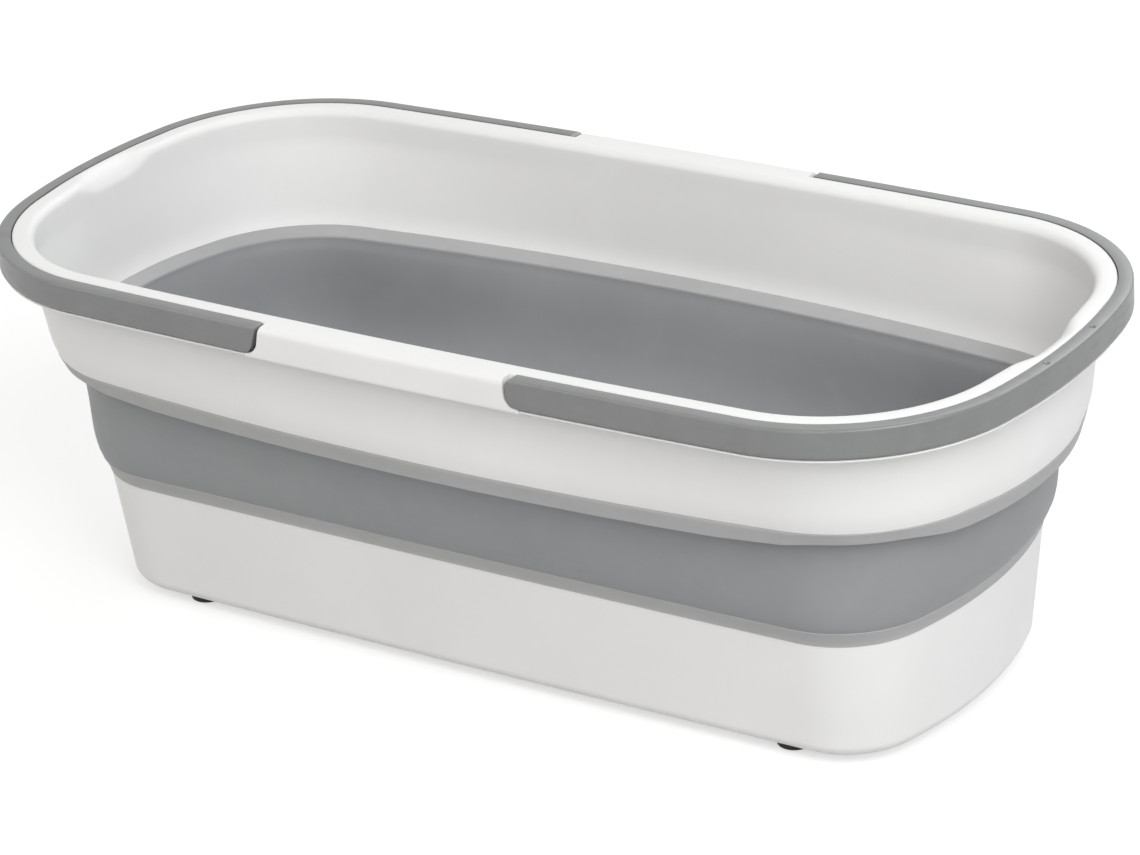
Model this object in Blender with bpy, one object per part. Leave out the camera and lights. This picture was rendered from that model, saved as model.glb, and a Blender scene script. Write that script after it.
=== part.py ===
import math

import bmesh
import bpy

# A collapsible bucket, set up as in use. Lengths are in metres. Z is up, X runs along the
# length and Y across. An inset is measured inwards from the outermost outline, square to it,
# and a depth is measured down from the top of the rim.
overall_length = 0.460
overall_width = 0.226
overall_height = 0.155
seam = 0.0003

# The plan is a soft rectangle of side arcs, corner arcs and end arcs. A corner radius is that
# of the outermost outline, and a turn is the angle that half a side or half an end swings.
rim_corner_radius = 0.079
rim_side_turn = 2.0
rim_end_turn = 10.0
fold_corner_radius = 0.077
fold_side_turn = 6.7
fold_end_turn = 21.5
tub_corner_radius = 0.073
tub_side_turn = 0.8
tub_end_turn = 16.0

# Handles: two half hoops that lie in a channel round the rim.
handle_thickness = 0.0055
handle_height = 0.0115
handle_edge_round = 0.0010
handle_gap = 0.0005
arm_end_place = 0.0565
arm_end_gap = 0.0010
arm_slant = 0.0040
arm_slant_corner = 0.0014
arm_round_top = 0.0022
arm_round_foot = 0.0055
saddle_slant = 0.0023
end_step = 0.0006
pivot_setback = 0.0050
pivot_depth = 0.0030
peg_radius = 0.0015
peg_clearance = 0.0002
peg_reach = 0.0040
peg_root = 0.0020
dimple_radius = 0.0011
dimple_depth = 0.0007
dimple_place = 0.0180
dimple_inset = 0.0036

# Upper shell: the rim, the lip under the handles, and the wall down to the fold.
rim_width = 0.0088
rim_edge_round = 0.0010
rim_inner_round = 0.0034
rim_web = 0.0020
rim_thickness = 0.0055
lip_thickness = 0.0013
lip_setback = 0.0015
lip_edge_round = 0.0005
saddle_edge_round = 0.0014
shell_wall = 0.0028
shell_wall_lean = 0.0003
shell_height = 0.0495
shell_bend_radius = 0.0364
shell_bend_drop = 0.0090
scoop_cut = 0.0040
scoop_drop = 0.0042
scoop_flat = 0.0090
scoop_reach = 0.0270

# Upper fold strip: a ring with an outer skirt, lower at the sides and ends than at the corners,
# and a ledge that slopes down inwards.
fold_strip_height = 0.0077
fold_strip_lean = 0.0020
fold_strip_wall = 0.0035
fold_strip_round = 0.0004
corner_lift = 0.0026
ledge_drop = 0.0022
ledge_thickness = 0.0012
ledge_width = 0.0062

# Fold band: the soft wall that rolls inside out.
band_height = 0.0416
band_thickness = 0.0018
band_setback = 0.0020
band_hinge_run = 0.0048
band_hinge_drop = 0.0060
band_lean = 0.00417
band_bend_radius = 0.01081
band_bend_drop = 0.0080
band_foot_width = 0.0055

# Lower fold strip, tub, liner and feet.
base_strip_height = 0.0063
base_strip_lean = 0.0030
base_strip_width = 0.0055
tub_wall = 0.0025
tub_lean = 0.0050
tub_bottom_round = 0.0060
liner_thickness = 0.0012
foot_height = 0.0030
foot_radius = 0.0070
foot_edge_round = 0.0008
foot_from_end = 0.0910
foot_from_side = 0.0540

cut_overrun = 0.0010

corner_steps = 7
bend_steps = 4

# Places count the arcs of a quarter, so the corner runs from 1 to 2.
corner_middle = 1.45
corner_reach_share = 0.6
corner_ease_share = 0.3


def plan_shape(corner_radius, side_turn, end_turn):
    """Arc radii of an outline that touches the overall length and width."""
    side = math.radians(side_turn)
    end = math.radians(end_turn)
    a = math.sin(side)
    b = 1 - math.cos(end)
    c = 1 - math.cos(side)
    d = math.sin(end)
    along = overall_length / 2 - corner_radius * (math.cos(end) - math.sin(side))
    across = overall_width / 2 - corner_radius * (math.cos(side) - math.sin(end))
    scale = a * d - b * c
    return {
        "side_radius": (along * d - across * b) / scale,
        "end_radius": (across * a - along * c) / scale,
        "corner_radius": corner_radius,
        "side_turn": side,
        "end_turn": end,
    }


def mixed_shape(first, second, share):
    """Outline part of the way from one set of radius and turns to another."""
    values = []
    for start, end in zip(first, second):
        values.append(start + (end - start) * share)
    return plan_shape(*values)


rim_plan = (rim_corner_radius, rim_side_turn, rim_end_turn)
fold_plan = (fold_corner_radius, fold_side_turn, fold_end_turn)
tub_plan = (tub_corner_radius, tub_side_turn, tub_end_turn)

# Depths and insets where one piece meets the next.
channel_inset = handle_thickness + handle_gap
rim_inner_inset = channel_inset + rim_width
shell_wall_inset = rim_inner_inset - shell_wall
lip_top_depth = handle_height + handle_gap
lip_foot_depth = lip_top_depth + lip_thickness
strip_top_depth = shell_height + seam
strip_foot_depth = strip_top_depth + fold_strip_height
shell_foot_inset = shell_wall_inset + shell_wall_lean + shell_bend_radius - math.sqrt(
    shell_bend_radius ** 2 - shell_bend_drop ** 2)
ledge_top_depth = strip_top_depth + ledge_drop
ledge_foot_depth = ledge_top_depth + ledge_thickness
ledge_edge_inset = shell_foot_inset + shell_wall + ledge_width
band_top_depth = ledge_foot_depth + seam
band_foot_depth = band_top_depth + band_height
band_top_inset = ledge_edge_inset - band_setback
band_bend_inset = band_top_inset + band_hinge_run + band_lean
band_foot_inset = band_bend_inset + band_bend_radius - math.sqrt(
    band_bend_radius ** 2 - band_bend_drop ** 2)
base_strip_depth = band_foot_depth + seam
tub_top_depth = base_strip_depth + base_strip_height + seam
tub_top_inset = band_foot_inset + base_strip_lean
tub_foot_depth = overall_height - foot_height


def shape_at(depth):
    """Outline of the bucket at a depth: rim above, fold shape midway, tub shape below."""
    if depth <= lip_foot_depth:
        return plan_shape(*rim_plan)
    if depth < shell_height:
        share = (depth - lip_foot_depth) / (shell_height - lip_foot_depth)
        return mixed_shape(rim_plan, fold_plan, share)
    if depth <= strip_foot_depth:
        return plan_shape(*fold_plan)
    if depth < band_foot_depth:
        share = (depth - strip_foot_depth) / (band_foot_depth - strip_foot_depth)
        return mixed_shape(fold_plan, tub_plan, share)
    return plan_shape(*tub_plan)


def quarter_point(place, inset, shape):
    """Point of one quarter. Place runs from 0 at mid side over 1 and 2 at the ends of the
    corner to 3 at mid end."""
    side_radius = shape["side_radius"]
    end_radius = shape["end_radius"]
    corner_radius = shape["corner_radius"]
    side_turn = shape["side_turn"]
    end_start = math.pi / 2 - shape["end_turn"]
    if place <= 1:
        angle = side_turn * place
        centre_x = 0
        centre_y = overall_width / 2 - side_radius
        radius = side_radius
    elif place <= 2:
        angle = side_turn + (end_start - side_turn) * (place - 1)
        centre_x = (side_radius - corner_radius) * math.sin(side_turn)
        centre_y = overall_width / 2 - side_radius
        centre_y += (side_radius - corner_radius) * math.cos(side_turn)
        radius = corner_radius
    else:
        angle = end_start + shape["end_turn"] * (place - 2)
        centre_x = overall_length / 2 - end_radius
        centre_y = 0
        radius = end_radius
    reach = radius - inset
    return centre_x + reach * math.sin(angle), centre_y + reach * math.cos(angle)


def place_along_side(distance):
    """Place on the rim's side arc at a distance from mid length."""
    shape = plan_shape(*rim_plan)
    return math.asin(distance / shape["side_radius"]) / shape["side_turn"]


def place_across_end(distance):
    """Place on the rim's end arc at a distance from mid width."""
    shape = plan_shape(*rim_plan)
    return 3 - math.asin(distance / shape["end_radius"]) / shape["end_turn"]


# Quarters in order round the bucket, each with the signs of its X and Y, the way its places
# run, and the way the handle arm that lies in it ends.
quarters = (
    (1, -1, False, "round"),
    (1, 1, True, "slant"),
    (-1, 1, False, "round"),
    (-1, -1, True, "slant"),
)


def stations_round(places):
    """Stations all the way round, each as X sign, Y sign, place and kind of arm end."""
    found = []
    for x_sign, y_sign, backwards, kind in quarters:
        run = places[:0:-1] if backwards else places[:-1]
        for place in run:
            found.append((x_sign, y_sign, place, kind))
    return found


def corner_points(corner, start, end, steps):
    """Rounded corner of a section, from corner + start to corner + end."""
    points = []
    for step in range(steps + 1):
        angle = math.pi / 2 * step / steps
        along = 1 - math.sin(angle)
        across = 1 - math.cos(angle)
        points.append((corner[0] + start[0] * along + end[0] * across,
                       corner[1] + start[1] * along + end[1] * across))
    return points


def eased(share):
    """Smooth run from 0 to 1."""
    return 0.5 - 0.5 * math.cos(math.pi * min(max(share, 0), 1))


def corner_share(place):
    """One along most of a corner, falling smoothly to nothing just outside it."""
    return eased((corner_reach_share - abs(place - corner_middle)) / corner_ease_share)


def bend_points(inset, depth, radius, drop, steps):
    """Wall that starts straight down and curls inwards over a drop."""
    points = []
    whole = math.asin(drop / radius)
    for step in range(steps + 1):
        angle = whole * step / steps
        points.append((inset + radius * (1 - math.cos(angle)), depth + radius * math.sin(angle)))
    return points


def material(name, colour, roughness):
    made = bpy.data.materials.new(name)
    made.use_nodes = True
    shader = made.node_tree.nodes["Principled BSDF"]
    shader.inputs["Base Color"].default_value = (*colour, 1)
    shader.inputs["Roughness"].default_value = roughness
    shader.inputs["Metallic"].default_value = 0
    made.diffuse_color = (*colour, 1)
    return made


def world_point(x_sign, y_sign, place, inset, depth):
    x, y = quarter_point(place, inset, shape_at(depth))
    return x_sign * x, y_sign * y, overall_height - depth


def finished_object(name, mesh, origin, surface, parent):
    mesh.normal_update()
    bmesh.ops.recalc_face_normals(mesh, faces=mesh.faces)
    bmesh.ops.translate(mesh, verts=mesh.verts, vec=[-value for value in origin])
    data = bpy.data.meshes.new(name)
    mesh.to_mesh(data)
    mesh.free()
    data.shade_smooth()
    data.set_sharp_from_angle(angle=math.radians(32))
    data.materials.append(surface)
    made = bpy.data.objects.new(name, data)
    bpy.context.scene.collection.objects.link(made)
    made.location = origin
    if parent is not None:
        made.parent = parent
        made.location = [value - base for value, base in zip(origin, parent.location)]
    return made


def skin_between(mesh, rows, closed_round, closed_section):
    """Faces over a grid of vertices."""
    count = len(rows)
    for row in range(count if closed_round else count - 1):
        here = rows[row]
        there = rows[(row + 1) % count]
        width = len(here)
        for column in range(width if closed_section else width - 1):
            after = (column + 1) % width
            mesh.faces.new((here[column], there[column], there[after], here[after]))


def ring(name, section, places, surface, parent, lifted=()):
    """Closed section carried all round the outline. The lifted points rise at the corners."""
    mesh = bmesh.new()
    rows = []
    for x_sign, y_sign, place, kind in stations_round(places):
        row = []
        for index, (inset, depth) in enumerate(section):
            if index in lifted:
                depth -= corner_lift * corner_share(place)
            row.append(mesh.verts.new(world_point(x_sign, y_sign, place, inset, depth)))
        rows.append(row)
    skin_between(mesh, rows, True, True)
    return finished_object(name, mesh, (0, 0, 0), surface, parent)


def vessel(name, outer, inner, places, surface):
    """Tub: a section open at the middle, with a flat bottom and a flat floor."""
    mesh = bmesh.new()
    rows = []
    for x_sign, y_sign, place, kind in stations_round(places):
        row = []
        for inset, depth in outer + inner:
            row.append(mesh.verts.new(world_point(x_sign, y_sign, place, inset, depth)))
        rows.append(row)
    skin_between(mesh, rows, True, False)
    mesh.faces.new([row[0] for row in rows])
    mesh.faces.new([row[-1] for row in rows])
    return finished_object(name, mesh, (0, 0, 0), surface, None)


for found in list(bpy.data.objects):
    bpy.data.objects.remove(found, do_unlink=True)

white = material("white_polypropylene", (0.86, 0.87, 0.86), 0.38)
light_grey = material("light_grey_rubber", (0.42, 0.43, 0.44), 0.55)
dark_grey = material("dark_grey_rubber", (0.25, 0.26, 0.27), 0.55)
handle_grey = material("grey_polypropylene", (0.24, 0.25, 0.26), 0.45)
black = material("black_rubber", (0.02, 0.02, 0.02), 0.7)

side_shares = (0, 0.35, 0.7)
end_shares = (0.35, 0.7, 1)
plain_places = list(side_shares)
for step in range(corner_steps + 1):
    plain_places.append(1 + step / corner_steps)
for share in end_shares:
    plain_places.append(2 + share)

upper_body = bpy.data.objects.new("upper_body", None)
upper_body.location = (0, 0, overall_height - strip_foot_depth)
bpy.context.scene.collection.objects.link(upper_body)

# Handle levels: each has a depth and an outer inset, shared by the arm and its channel.
level_shares = (0, 0.026, 0.06, 0.105, 0.30, 0.48, 0.65, 0.80, 0.92, 1)
round_shares = (1, 0.32, 0.08, 0, 0, 0, 0, 0, 0.01, 0.90)
handle_depths = [handle_height * share for share in level_shares]
handle_insets = [handle_edge_round * share for share in round_shares]


def arm_end_run(kind, depth):
    """How far the arm's end stands back at a depth."""
    foot = max(0, handle_height - depth)
    if kind == "slant":
        run = arm_slant * depth / handle_height
        radius = arm_slant_corner
    else:
        run = 0
        radius = arm_round_foot
        if depth < arm_round_top:
            run = arm_round_top - math.sqrt(arm_round_top ** 2 - (arm_round_top - depth) ** 2)
    if kind == "slant" and depth < arm_slant_corner:
        run += arm_slant_corner - math.sqrt(
            arm_slant_corner ** 2 - (arm_slant_corner - depth) ** 2)
    if foot < radius:
        run += radius - math.sqrt(radius ** 2 - (radius - foot) ** 2)
    return run


def saddle_end_run(kind, depth):
    """How far the saddle's end reaches under the arm at a depth."""
    depth = min(max(depth, 0), handle_height)
    if kind == "slant":
        return saddle_slant * depth / handle_height
    foot = handle_height - depth
    if foot < arm_round_foot:
        return arm_round_foot - math.sqrt(arm_round_foot ** 2 - (arm_round_foot - foot) ** 2)
    return 0


# Upper shell. Its section has two forms, with a channel for the handles and, at mid side,
# with a saddle that stands out flush with them.
channel_top = corner_points((channel_inset, 0), (rim_edge_round, 0), (0, rim_edge_round), 2)
channel_wall = [(channel_inset, depth) for depth in handle_depths[4:9]]
lip_tip = corner_points((lip_setback, lip_top_depth), (lip_edge_round, 0),
                        (0, lip_edge_round), 1)
channel_form = channel_top + channel_wall + [(channel_inset, lip_top_depth)] + lip_tip
channel_form += [(lip_setback + lip_edge_round, lip_foot_depth)]
saddle_top = corner_points((0, 0), (saddle_edge_round, 0), (0, saddle_edge_round), 2)
saddle_wall = [(0, depth) for depth in handle_depths[4:9]]
saddle_foot = [(0, handle_height), (0, lip_top_depth + lip_edge_round),
               (lip_edge_round, lip_foot_depth - lip_edge_round),
               (lip_setback + lip_edge_round, lip_foot_depth)]
saddle_form = saddle_top + saddle_wall + saddle_foot

rim_inner = corner_points((rim_inner_inset, 0), (0, rim_inner_round), (-rim_inner_round, 0), 3)
rim_groove = [(channel_inset + rim_web, lip_foot_depth), (channel_inset + rim_web, rim_thickness),
              (shell_wall_inset, rim_thickness)]
wall_bend_depth = shell_height - shell_bend_drop
wall_outer = [(shell_wall_inset, lip_foot_depth)]
wall_outer += bend_points(shell_wall_inset + shell_wall_lean, wall_bend_depth,
                          shell_bend_radius, shell_bend_drop, bend_steps)
wall_inner = [(inset + shell_wall, depth) for inset, depth in reversed(wall_outer)]
shell_tail = rim_groove + wall_outer + wall_inner

# The pouring scoop moves the rim's inner points, by shares of its cut and of its drop.
scoop_inset_shares = (0, 0.35, 0.7, 1)
scoop_depth_shares = (1, 0.55, 0.2, 0)
tail_start = len(rim_inner) + len(channel_form)


def scoop_share(y):
    """One on the scoop's flat, falling smoothly to nothing at its ends."""
    away = min(max((abs(y) - scoop_flat) / (scoop_reach - scoop_flat), 0), 1)
    return 0.5 + 0.5 * math.cos(math.pi * away)


def shell_station(x_sign, y_sign, place, kind, form):
    """Points of the shell's section at one station."""
    points = []
    whole = rim_inner + (saddle_form if form.startswith("saddle") else channel_form)
    whole = whole + shell_tail
    for index, (inset, depth) in enumerate(whole):
        spot = place
        if form.endswith("end"):
            distance = arm_end_place - arm_end_gap + saddle_end_run(kind, depth)
            if index < len(rim_inner) or index >= tail_start:
                distance = arm_end_place - arm_end_gap
            if form.startswith("saddle"):
                distance -= end_step
            spot = place_along_side(distance)
        if spot > 2:
            share = scoop_share(quarter_point(spot, 0, plan_shape(*rim_plan))[1])
            if index < len(rim_inner):
                inset -= scoop_cut * scoop_inset_shares[index] * share
                depth += scoop_drop * scoop_depth_shares[index] * share
        points.append(world_point(x_sign, y_sign, spot, inset, depth))
    return points


arm_run = max(arm_slant + arm_slant_corner, arm_round_foot)
past_arm_end = arm_end_place + arm_run + pivot_setback
shell_stations = [(0, "saddle"), (place_along_side(arm_end_place / 2), "saddle"),
                  (0, "saddle_end"), (0, "channel_end")]
for place in (place_along_side(past_arm_end), 0.7):
    shell_stations.append((place, "channel"))
for step in range(corner_steps + 1):
    shell_stations.append((1 + step / corner_steps, "channel"))
scoop_width_shares = (1, 0.72, 0.45, 0)
for share in scoop_width_shares:
    across = scoop_flat + (scoop_reach - scoop_flat) * share
    shell_stations.append((place_across_end(across), "channel"))
shell_stations.append((3, "channel"))

mesh = bmesh.new()
rows = []
for x_sign, y_sign, backwards, kind in quarters:
    run = shell_stations[:0:-1] if backwards else shell_stations[:-1]
    for place, form in run:
        row = []
        for point in shell_station(x_sign, y_sign, place, kind, form):
            row.append(mesh.verts.new(point))
        rows.append(row)
skin_between(mesh, rows, True, True)
shell = finished_object("upper_shell", mesh, (0, 0, 0), white, upper_body)

# Upper fold strip.
strip_inset = shell_foot_inset
skirt_inset = strip_inset + fold_strip_lean
skirt_foot = corner_points((skirt_inset, strip_foot_depth), (0, -fold_strip_round),
                           (fold_strip_round, 0), 1)
skirt_foot += [(skirt_inset + fold_strip_wall, strip_foot_depth)]
strip_section = [(strip_inset + shell_wall, strip_top_depth)]
strip_section += corner_points((strip_inset, strip_top_depth), (fold_strip_round, 0),
                               (0, fold_strip_round), 1)
skirt_start = len(strip_section)
strip_section += skirt_foot
strip_section += [(skirt_inset + fold_strip_wall, ledge_foot_depth),
                  (ledge_edge_inset, ledge_foot_depth)]
strip_section += corner_points((ledge_edge_inset, ledge_top_depth), (0, fold_strip_round),
                               (-fold_strip_round, 0), 1)
ring("upper_fold_strip", strip_section, plain_places, light_grey, upper_body,
     range(skirt_start, skirt_start + len(skirt_foot)))

# Fold band.
band_bend_depth = band_foot_depth - band_bend_drop
band_outer = []
for step in range(bend_steps + 1):
    share = step / bend_steps
    band_outer.append((band_top_inset + band_hinge_run * eased(share),
                       band_top_depth + band_hinge_drop * share))
band_outer += bend_points(band_bend_inset, band_bend_depth, band_bend_radius,
                          band_bend_drop, bend_steps)
band_inner = [(inset + band_thickness, depth) for inset, depth in reversed(band_outer[:-1])]
band_foot = (band_foot_inset + band_foot_width, band_foot_depth)
ring("fold_band", band_outer + [band_foot] + band_inner, plain_places, dark_grey, None)

# Lower fold strip.
base_strip_foot = base_strip_depth + base_strip_height
base_strip_section = [
    (band_foot_inset + base_strip_width, base_strip_depth),
    (band_foot_inset + fold_strip_round, base_strip_depth),
    (band_foot_inset, base_strip_depth + fold_strip_round),
    (tub_top_inset - fold_strip_round, base_strip_foot),
    (band_foot_inset + base_strip_width, base_strip_foot),
]
ring("lower_fold_strip", base_strip_section, plain_places, light_grey, None)

# Tub, with a rounded lower edge.
tub_foot_inset = tub_top_inset + tub_lean
tub_outer = corner_points((tub_foot_inset, tub_foot_depth), (tub_bottom_round, 0),
                          (0, -tub_bottom_round), bend_steps)
tub_outer += [(tub_top_inset, tub_top_depth)]
floor_depth = tub_foot_depth - tub_wall
tub_inner = [(tub_top_inset + tub_wall, tub_top_depth)]
tub_inner += corner_points((tub_foot_inset + tub_wall, floor_depth), (0, -tub_bottom_round),
                           (tub_bottom_round, 0), bend_steps - 1)
vessel("lower_tub", tub_outer, tub_inner, plain_places, white)

# Liner, up the inside of the tub and behind the lower strip to the foot of the band.
liner_gap = tub_wall + seam
liner_lift = seam + liner_thickness
liner_outer = corner_points((tub_foot_inset + liner_gap, floor_depth - seam),
                            (tub_bottom_round, 0), (0, -tub_bottom_round), bend_steps - 1)
liner_outer += [(tub_top_inset + liner_gap, base_strip_depth)]
liner_inner = [(tub_top_inset + liner_gap + liner_thickness, base_strip_depth)]
liner_inner += corner_points(
    (tub_foot_inset + liner_gap + liner_thickness, floor_depth - liner_lift),
    (0, -tub_bottom_round), (tub_bottom_round, 0), bend_steps - 1)
vessel("tub_liner", liner_outer, liner_inner, plain_places, dark_grey)


def foot(name, x_sign, y_sign):
    mesh = bmesh.new()
    bmesh.ops.create_cone(mesh, cap_ends=True, segments=24, radius1=foot_radius,
                          radius2=foot_radius, depth=foot_height - seam)
    low = [edge for edge in mesh.edges if all(vert.co.z < 0 for vert in edge.verts)]
    bmesh.ops.bevel(mesh, geom=low, offset=foot_edge_round, segments=2, affect="EDGES",
                    profile=0.5)
    x = x_sign * (overall_length / 2 - foot_from_end)
    y = y_sign * (overall_width / 2 - foot_from_side)
    made = finished_object(name, mesh, (0, 0, 0), black, None)
    made.location = (x, y, (foot_height - seam) / 2)


foot("foot_front_left", -1, -1)
foot("foot_front_right", 1, -1)
foot("foot_rear_left", -1, 1)
foot("foot_rear_right", 1, 1)

# Handles. Each arm ends at mid side with one slanted and one rounded end, and turns on two
# pegs that stand out from it into the rim.
pivot_place = arm_end_place + pivot_setback
pivot_z = overall_height - pivot_depth


def cylinder_across(radius, start, end, x, z):
    """Cylinder that lies along Y, as a mesh."""
    mesh = bmesh.new()
    bmesh.ops.create_cone(mesh, cap_ends=True, segments=24, radius1=radius, radius2=radius,
                          depth=abs(end - start))
    for vert in mesh.verts:
        vert.co = (x + vert.co.x, (start + end) / 2 + vert.co.z, z + vert.co.y)
    return mesh


def helper_object(name, mesh, operation, target):
    """Cutter or addition that a Boolean on the target uses, and that isn't a piece itself."""
    made = finished_object(name, mesh, (0, 0, 0), black, None)
    made.hide_render = True
    made.display_type = "WIRE"
    modifier = target.modifiers.new(name, "BOOLEAN")
    modifier.operation = operation
    modifier.solver = "EXACT"
    modifier.object = made


def side_line(x, inset):
    """Y of the rim's side at an inset, at a distance from mid length."""
    return quarter_point(place_along_side(x), inset, plan_shape(*rim_plan))[1]


def handle(name, side):
    mesh = bmesh.new()
    path = []
    near_kind = "slant" if side < 0 else "round"
    far_kind = "round" if side < 0 else "slant"
    places = [place_along_side(past_arm_end), 0.7]
    for step in range(corner_steps + 1):
        places.append(1 + step / corner_steps)
    for share in end_shares:
        places.append(2 + share)
    path.append((-1, None, near_kind))
    for place in places:
        path.append((-1, place, near_kind))
    for place in reversed(places[:-1]):
        path.append((1, place, far_kind))
    path.append((1, None, far_kind))
    count = len(handle_depths)
    rows = []
    for y_sign, place, kind in path:
        row = []
        order = list(range(count)) + list(reversed(range(count)))
        for index, level in enumerate(order):
            spot = place
            if place is None:
                run = arm_end_run(kind, handle_depths[level])
                spot = place_along_side(arm_end_place + run)
            inset = handle_insets[level] if index < count else handle_thickness
            point = world_point(side, y_sign, spot, inset, handle_depths[level])
            row.append(mesh.verts.new(point))
        rows.append(row)
    skin_between(mesh, rows, False, True)
    for row in (rows[0], rows[-1]):
        for level in range(count - 1):
            mesh.faces.new((row[level], row[2 * count - 1 - level],
                            row[2 * count - 2 - level], row[level + 1]))
    made = finished_object(name, mesh, (side * pivot_place, 0, pivot_z), handle_grey,
                           upper_body)
    for y_sign, word in ((-1, "front"), (1, "rear")):
        root = side_line(pivot_place, handle_thickness - peg_root) * y_sign
        tip = side_line(pivot_place, channel_inset + peg_reach) * y_sign
        peg = cylinder_across(peg_radius, root, tip, side * pivot_place, pivot_z)
        helper_object(name + "_peg_" + word, peg, "UNION", made)
        mouth = side_line(pivot_place, channel_inset - cut_overrun) * y_sign
        bottom = side_line(pivot_place, channel_inset + peg_reach + seam) * y_sign
        hole = cylinder_across(peg_radius + peg_clearance, mouth, bottom,
                               side * pivot_place, pivot_z)
        helper_object(name + "_hole_" + word, hole, "DIFFERENCE", shell)
    return made


handle("left_handle", -1)
right = handle("right_handle", 1)

# Two small dimples in the top of the right handle.
for y_sign, word in ((-1, "front"), (1, "rear")):
    dimple = bmesh.new()
    bmesh.ops.create_cone(dimple, cap_ends=True, segments=12, radius1=dimple_radius,
                          radius2=dimple_radius, depth=dimple_depth + cut_overrun)
    bmesh.ops.translate(dimple, verts=dimple.verts, vec=(
        overall_length / 2 - dimple_inset, y_sign * dimple_place,
        overall_height + (cut_overrun - dimple_depth) / 2))
    helper_object("right_handle_dimple_" + word, dimple, "DIFFERENCE", right)
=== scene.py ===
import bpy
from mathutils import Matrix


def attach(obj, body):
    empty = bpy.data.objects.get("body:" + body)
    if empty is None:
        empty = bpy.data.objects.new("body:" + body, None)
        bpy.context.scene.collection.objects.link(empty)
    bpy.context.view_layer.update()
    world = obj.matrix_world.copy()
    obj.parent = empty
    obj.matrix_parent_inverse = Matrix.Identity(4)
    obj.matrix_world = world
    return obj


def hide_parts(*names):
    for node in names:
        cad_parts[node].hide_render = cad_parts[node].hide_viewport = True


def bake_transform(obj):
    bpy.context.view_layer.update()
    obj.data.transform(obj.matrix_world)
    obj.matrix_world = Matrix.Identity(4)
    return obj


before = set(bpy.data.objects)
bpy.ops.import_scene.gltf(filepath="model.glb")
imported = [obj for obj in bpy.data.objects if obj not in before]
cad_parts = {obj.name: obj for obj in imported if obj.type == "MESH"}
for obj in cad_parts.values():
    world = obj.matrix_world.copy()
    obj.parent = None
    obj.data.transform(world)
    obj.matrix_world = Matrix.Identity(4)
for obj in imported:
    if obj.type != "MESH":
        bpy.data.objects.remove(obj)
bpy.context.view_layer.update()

import math

import bmesh
import bpy
from mathutils import Matrix, Vector

print("frame loaded")

# Levels and insets of the bucket, in metres. An inset is measured inwards from the outermost
# outline and a depth down from the top of the rim. The arms of the handles end at armEnd, from
# mid length.
bucket = {
    "length": 0.460, "width": 0.226, "height": 0.155,
    "rimPlan": (0.079, 2.0, 10.0),  # corner radius, half turn of a side, half turn of an end
    "foldPlan": (0.077, 6.7, 21.5),
    "tubPlan": (0.073, 0.8, 16.0),
    "lipFoot": 0.0133, "shellFoot": 0.0495, "foldStripFoot": 0.0575, "bandFoot": 0.0951,
    "armEnd": 0.0565,
}


def planShape(cornerRadius, sideTurn, endTurn):  # arcs that touch the length and the width
    side, end = math.radians(sideTurn), math.radians(endTurn)
    a, b = math.sin(side), 1 - math.cos(end)
    c, d = 1 - math.cos(side), math.sin(end)
    along = bucket["length"] / 2 - cornerRadius * (math.cos(end) - math.sin(side))
    across = bucket["width"] / 2 - cornerRadius * (math.cos(side) - math.sin(end))
    scale = a * d - b * c
    return ((along * d - across * b) / scale, (across * a - along * c) / scale,
            cornerRadius, side, end)


def mixedShape(first, second, share):
    return planShape(*[start + (stop - start) * share for start, stop in zip(first, second)])


def shapeAt(depth):  # rim outline above, fold outline midway, tub outline below
    if depth <= bucket["lipFoot"]:
        return planShape(*bucket["rimPlan"])
    if depth < bucket["shellFoot"]:
        share = (depth - bucket["lipFoot"]) / (bucket["shellFoot"] - bucket["lipFoot"])
        return mixedShape(bucket["rimPlan"], bucket["foldPlan"], share)
    if depth <= bucket["foldStripFoot"]:
        return planShape(*bucket["foldPlan"])
    if depth < bucket["bandFoot"]:
        share = (depth - bucket["foldStripFoot"]) / (bucket["bandFoot"] - bucket["foldStripFoot"])
        return mixedShape(bucket["foldPlan"], bucket["tubPlan"], share)
    return planShape(*bucket["tubPlan"])


def quarterPoint(place, inset, shape):  # 0 mid side, 1 and 2 the ends of the corner, 3 mid end
    sideRadius, endRadius, cornerRadius, sideTurn, endTurn = shape
    endStart = math.pi / 2 - endTurn
    if place <= 1:
        angle = sideTurn * place
        centre = (0, bucket["width"] / 2 - sideRadius)
        radius = sideRadius
    elif place <= 2:
        angle = sideTurn + (endStart - sideTurn) * (place - 1)
        reach = sideRadius - cornerRadius
        centre = (reach * math.sin(sideTurn),
                  bucket["width"] / 2 - sideRadius + reach * math.cos(sideTurn))
        radius = cornerRadius
    else:
        angle = endStart + endTurn * (place - 2)
        centre = (bucket["length"] / 2 - endRadius, 0)
        radius = endRadius
    return (centre[0] + (radius - inset) * math.sin(angle),
            centre[1] + (radius - inset) * math.cos(angle))


def alongSide(distance):
    shape = planShape(*bucket["rimPlan"])
    return math.asin(distance / shape[0]) / shape[3]


def acrossEnd(distance):
    shape = planShape(*bucket["rimPlan"])
    return 3 - math.asin(distance / shape[1]) / shape[4]


def worldPoint(xSign, ySign, place, inset, depth):
    x, y = quarterPoint(place, inset, shapeAt(depth))
    return Vector((xSign * x, ySign * y, bucket["height"] - depth))


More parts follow.
